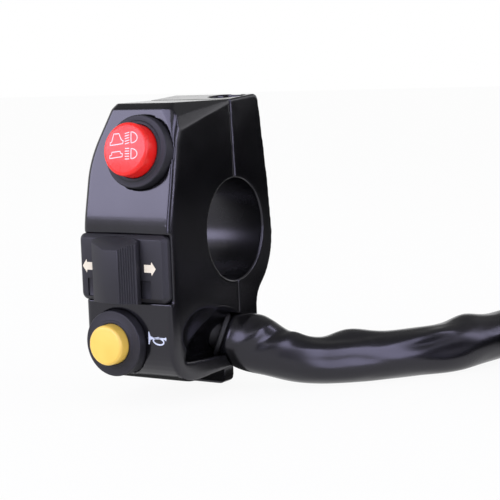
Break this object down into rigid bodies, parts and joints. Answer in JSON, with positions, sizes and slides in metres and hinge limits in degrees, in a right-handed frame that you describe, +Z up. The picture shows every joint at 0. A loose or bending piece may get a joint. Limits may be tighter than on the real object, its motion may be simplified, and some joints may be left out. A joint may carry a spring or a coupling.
{
  "type": "handlebar switch cluster",
  "caption": "Clamp-on handlebar switch housing with a red dimmer push button, a sliding turn-signal knob, a yellow horn push button and a sleeved cable with a plug.",
  "frame": {"origin": "centre of the handlebar bore, at the middle of the housing's width", "axes": "+X along the handlebar, towards the side that the cable leaves; +Y to the rear clamp half, away from the buttons; +Z up"},
  "size_m": [0.1833, 0.1477, 0.0646],
  "materials": {
    "housing_black": "satin-gloss moulded black",
    "bezel_grey": "matte dark grey",
    "red_cap": "satin red",
    "yellow_cap": "satin yellow",
    "slide_black": "fine matte black",
    "steel": "zinc-plated",
    "brass": "plain",
    "natural_plastic": "natural white",
    "contact_base": "brown laminate",
    "grommet_rubber": "matte black rubber",
    "sleeve_vinyl": "soft glossy black vinyl",
    "tie_black": "black nylon",
    "lead_vinyl": "red wire insulation"
  },
  "bodies": {
    "housing": {"front_housing": "housing_black", "rear_clamp": "housing_black", "clamp_screws": "steel", "dimmer_bezel": "bezel_grey", "dimmer_spring": "steel", "dimmer_base": "contact_base", "dimmer_terminals": "brass", "turn_plate": "slide_black", "turn_base": "contact_base", "turn_terminals": "brass", "horn_bezel": "bezel_grey", "horn_spring": "steel", "horn_base": "contact_base", "horn_terminals": "brass", "cable_grommet": "grommet_rubber", "sleeve_run": "sleeve_vinyl", "sleeve_coil": "sleeve_vinyl", "coil_tie": "tie_black", "tail_leads": "lead_vinyl", "connector_shell": "natural_plastic", "connector_pins": "brass"},
    "dimmer_button": {"dimmer_cap": "red_cap", "dimmer_plunger": "natural_plastic", "dimmer_contact": "brass"},
    "turn_slider": {"turn_knob": "slide_black", "turn_carriage": "natural_plastic", "turn_wiper": "brass", "turn_detent_ball": "steel", "turn_detent_spring": "steel"},
    "horn_button": {"horn_cap": "yellow_cap", "horn_plunger": "natural_plastic", "horn_contact": "brass"}
  },
  "joints": [
    {"name": "dimmer_press", "type": "slide", "parent": "housing", "child": "dimmer_button", "axis": [0, 0.9781, -0.2079], "range_m": [0, 0.0024], "stiffness_N_per_m": 400, "springref_m": -0.004, "deforming": ["dimmer_spring"]},
    {"name": "horn_press", "type": "slide", "parent": "housing", "child": "horn_button", "axis": [0, 1, 0], "range_m": [0, 0.0022], "stiffness_N_per_m": 400, "springref_m": -0.004, "deforming": ["horn_spring"]},
    {"name": "turn_slide", "type": "slide", "parent": "housing", "child": "turn_slider", "axis": [1, 0, 0], "range_m": [-0.0026, 0.0026]}
  ]
}
